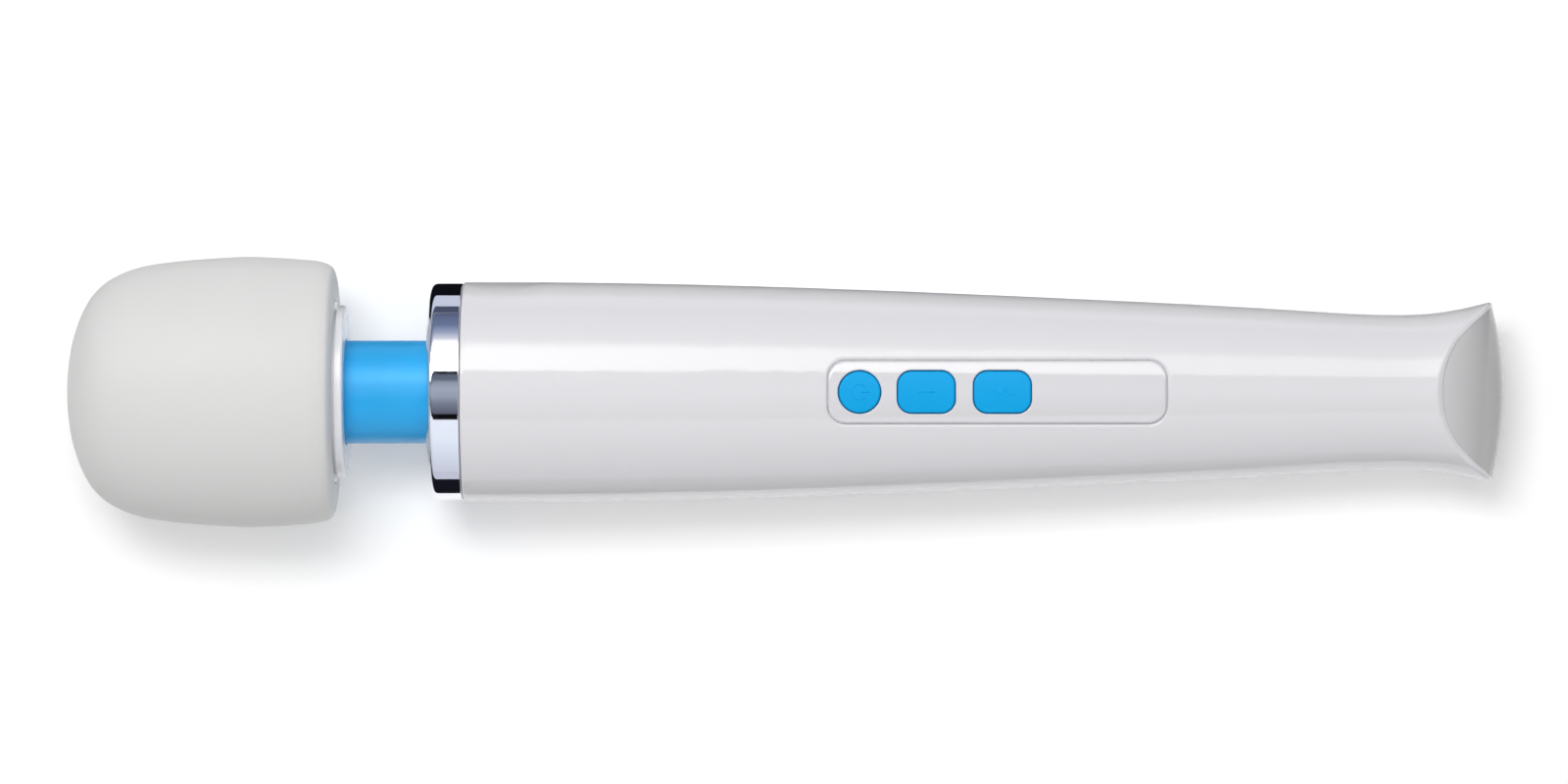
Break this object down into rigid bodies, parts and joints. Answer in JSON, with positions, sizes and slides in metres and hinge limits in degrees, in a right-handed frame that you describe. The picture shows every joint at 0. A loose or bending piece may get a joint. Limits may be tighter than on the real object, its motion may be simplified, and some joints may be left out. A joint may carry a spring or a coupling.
{
  "type": "handheld wand massager",
  "caption": "Cordless wand massager: a soft vibrating head on a bending neck, a tapering handle with a key panel, and a charging inlet in its slanted end.",
  "frame": {"origin": "on the wand's long axis, half way between the head's tip and the charging end", "axes": "+X along the wand towards the charging end, +Z out of the key side, Y across the handle"},
  "size_m": [0.3288, 0.0618, 0.0618],
  "materials": {
    "shell_white": "glossy moulded shell",
    "panel_white": "glossy moulded panel",
    "cushion_white": "satin silicone",
    "base_white": "semi-gloss",
    "neck_blue": "satin rubber",
    "key_blue": "satin",
    "chrome": "polished",
    "tail_grey": "glossy",
    "black_plastic": "matt",
    "grey_plastic": "matt",
    "white_plastic": "matt",
    "steel": "machined",
    "zinc_steel": "zinc plated",
    "spring_steel": "drawn wire",
    "nickel": "nickel strip",
    "copper_contact": "tinned",
    "bronze": "sintered",
    "magnet": "dark ferrite",
    "board_green": "solder mask",
    "cell_wrap": "shrink wrap",
    "lead_red": "insulation",
    "mount_rubber": "soft rubber"
  },
  "bodies": {
    "handle": {"front_housing": "shell_white", "rear_housing": "shell_white", "case_screws": "zinc_steel", "screw_plugs": "shell_white", "collar_ring": "chrome", "key_panel": "panel_white", "tail_cap": "tail_grey", "charging_jack": "black_plastic", "jack_contacts": "copper_contact", "battery_chassis": "grey_plastic", "battery_cells": "cell_wrap", "cell_tabs": "nickel", "chassis_screws": "zinc_steel", "control_board": "board_green", "board_screws": "zinc_steel", "tactile_switches": "black_plastic", "board_chips": "black_plastic", "capacitors": "black_plastic", "board_connectors": "white_plastic", "internal_leads": "lead_red", "motor_can": "steel", "motor_magnets": "magnet", "motor_end_cap": "black_plastic", "motor_bushes": "bronze", "motor_brushes": "bronze", "motor_mounts": "mount_rubber", "neck_seat_handle": "grey_plastic", "neck_screws_handle": "zinc_steel"},
    "neck_link": {"neck_sleeve": "neck_blue", "neck_spring": "spring_steel", "drive_guide": "white_plastic"},
    "head": {"head_cushion": "cushion_white", "head_core": "grey_plastic", "head_base": "base_white", "head_base_screws": "zinc_steel", "neck_seat_head": "grey_plastic", "neck_screws_head": "zinc_steel", "bearing_plate": "grey_plastic", "bearing_plate_screws": "zinc_steel", "bearing_outer_races": "steel"},
    "rotor": {"motor_shaft": "steel", "motor_armature": "steel", "motor_commutator": "copper_contact", "drive_coupling": "steel", "coupling_screw": "zinc_steel"},
    "flex_drive": {"flex_drive": "spring_steel"},
    "eccentric": {"head_spindle": "steel", "eccentric_weight": "steel", "weight_screw": "zinc_steel", "bearing_inner_races": "steel"},
    "front_ball_set": {"front_balls": "steel", "front_cage": "bronze"},
    "rear_ball_set": {"rear_balls": "steel", "rear_cage": "bronze"},
    "power_button": {"power_key": "key_blue", "power_plunger": "black_plastic"},
    "level_button": {"level_key": "key_blue", "level_plunger": "black_plastic"},
    "mode_button": {"mode_key": "key_blue", "mode_plunger": "black_plastic"}
  },
  "joints": [
    {"name": "neck_pitch", "type": "hinge", "parent": "handle", "child": "neck_link", "pos_m": [-0.0868, 0, 0], "axis": [0, 1, 0], "range_deg": [-12, 12], "stiffness_Nm_per_rad": 4, "deforming": ["neck_sleeve", "neck_spring", "flex_drive"]},
    {"name": "neck_yaw", "type": "hinge", "parent": "neck_link", "child": "head", "pos_m": [-0.0956, 0, 0], "axis": [0, 0, 1], "range_deg": [-12, 12], "stiffness_Nm_per_rad": 4, "deforming": ["neck_sleeve", "neck_spring", "flex_drive"]},
    {"name": "motor_spin", "type": "hinge", "parent": "handle", "child": "rotor", "pos_m": [-0.04, 0, 0], "axis": [1, 0, 0], "continuous": true},
    {"name": "drive_spin", "type": "hinge", "parent": "neck_link", "child": "flex_drive", "pos_m": [-0.0924, 0, 0], "axis": [1, 0, 0], "continuous": true},
    {"name": "eccentric_spin", "type": "hinge", "parent": "head", "child": "eccentric", "pos_m": [-0.13, 0, 0], "axis": [1, 0, 0], "continuous": true},
    {"name": "front_balls_spin", "type": "hinge", "parent": "head", "child": "front_ball_set", "pos_m": [-0.1505, 0, 0], "axis": [1, 0, 0], "continuous": true},
    {"name": "rear_balls_spin", "type": "hinge", "parent": "head", "child": "rear_ball_set", "pos_m": [-0.1105, 0, 0], "axis": [1, 0, 0], "continuous": true},
    {"name": "power_press", "type": "slide", "parent": "handle", "child": "power_button", "axis": [0, 0, -1], "range_m": [0, 0.0005], "stiffness_N_per_m": 600},
    {"name": "level_press", "type": "slide", "parent": "handle", "child": "level_button", "axis": [0, 0, -1], "range_m": [0, 0.0005], "stiffness_N_per_m": 600},
    {"name": "mode_press", "type": "slide", "parent": "handle", "child": "mode_button", "axis": [0, 0, -1], "range_m": [0, 0.0005], "stiffness_N_per_m": 600}
  ],
  "couplings": [
    {"joint": "drive_spin", "follows": "motor_spin", "ratio": 1},
    {"joint": "eccentric_spin", "follows": "motor_spin", "ratio": 1},
    {"joint": "front_balls_spin", "follows": "motor_spin", "ratio": 0.3577},
    {"joint": "rear_balls_spin", "follows": "motor_spin", "ratio": 0.3577}
  ]
}
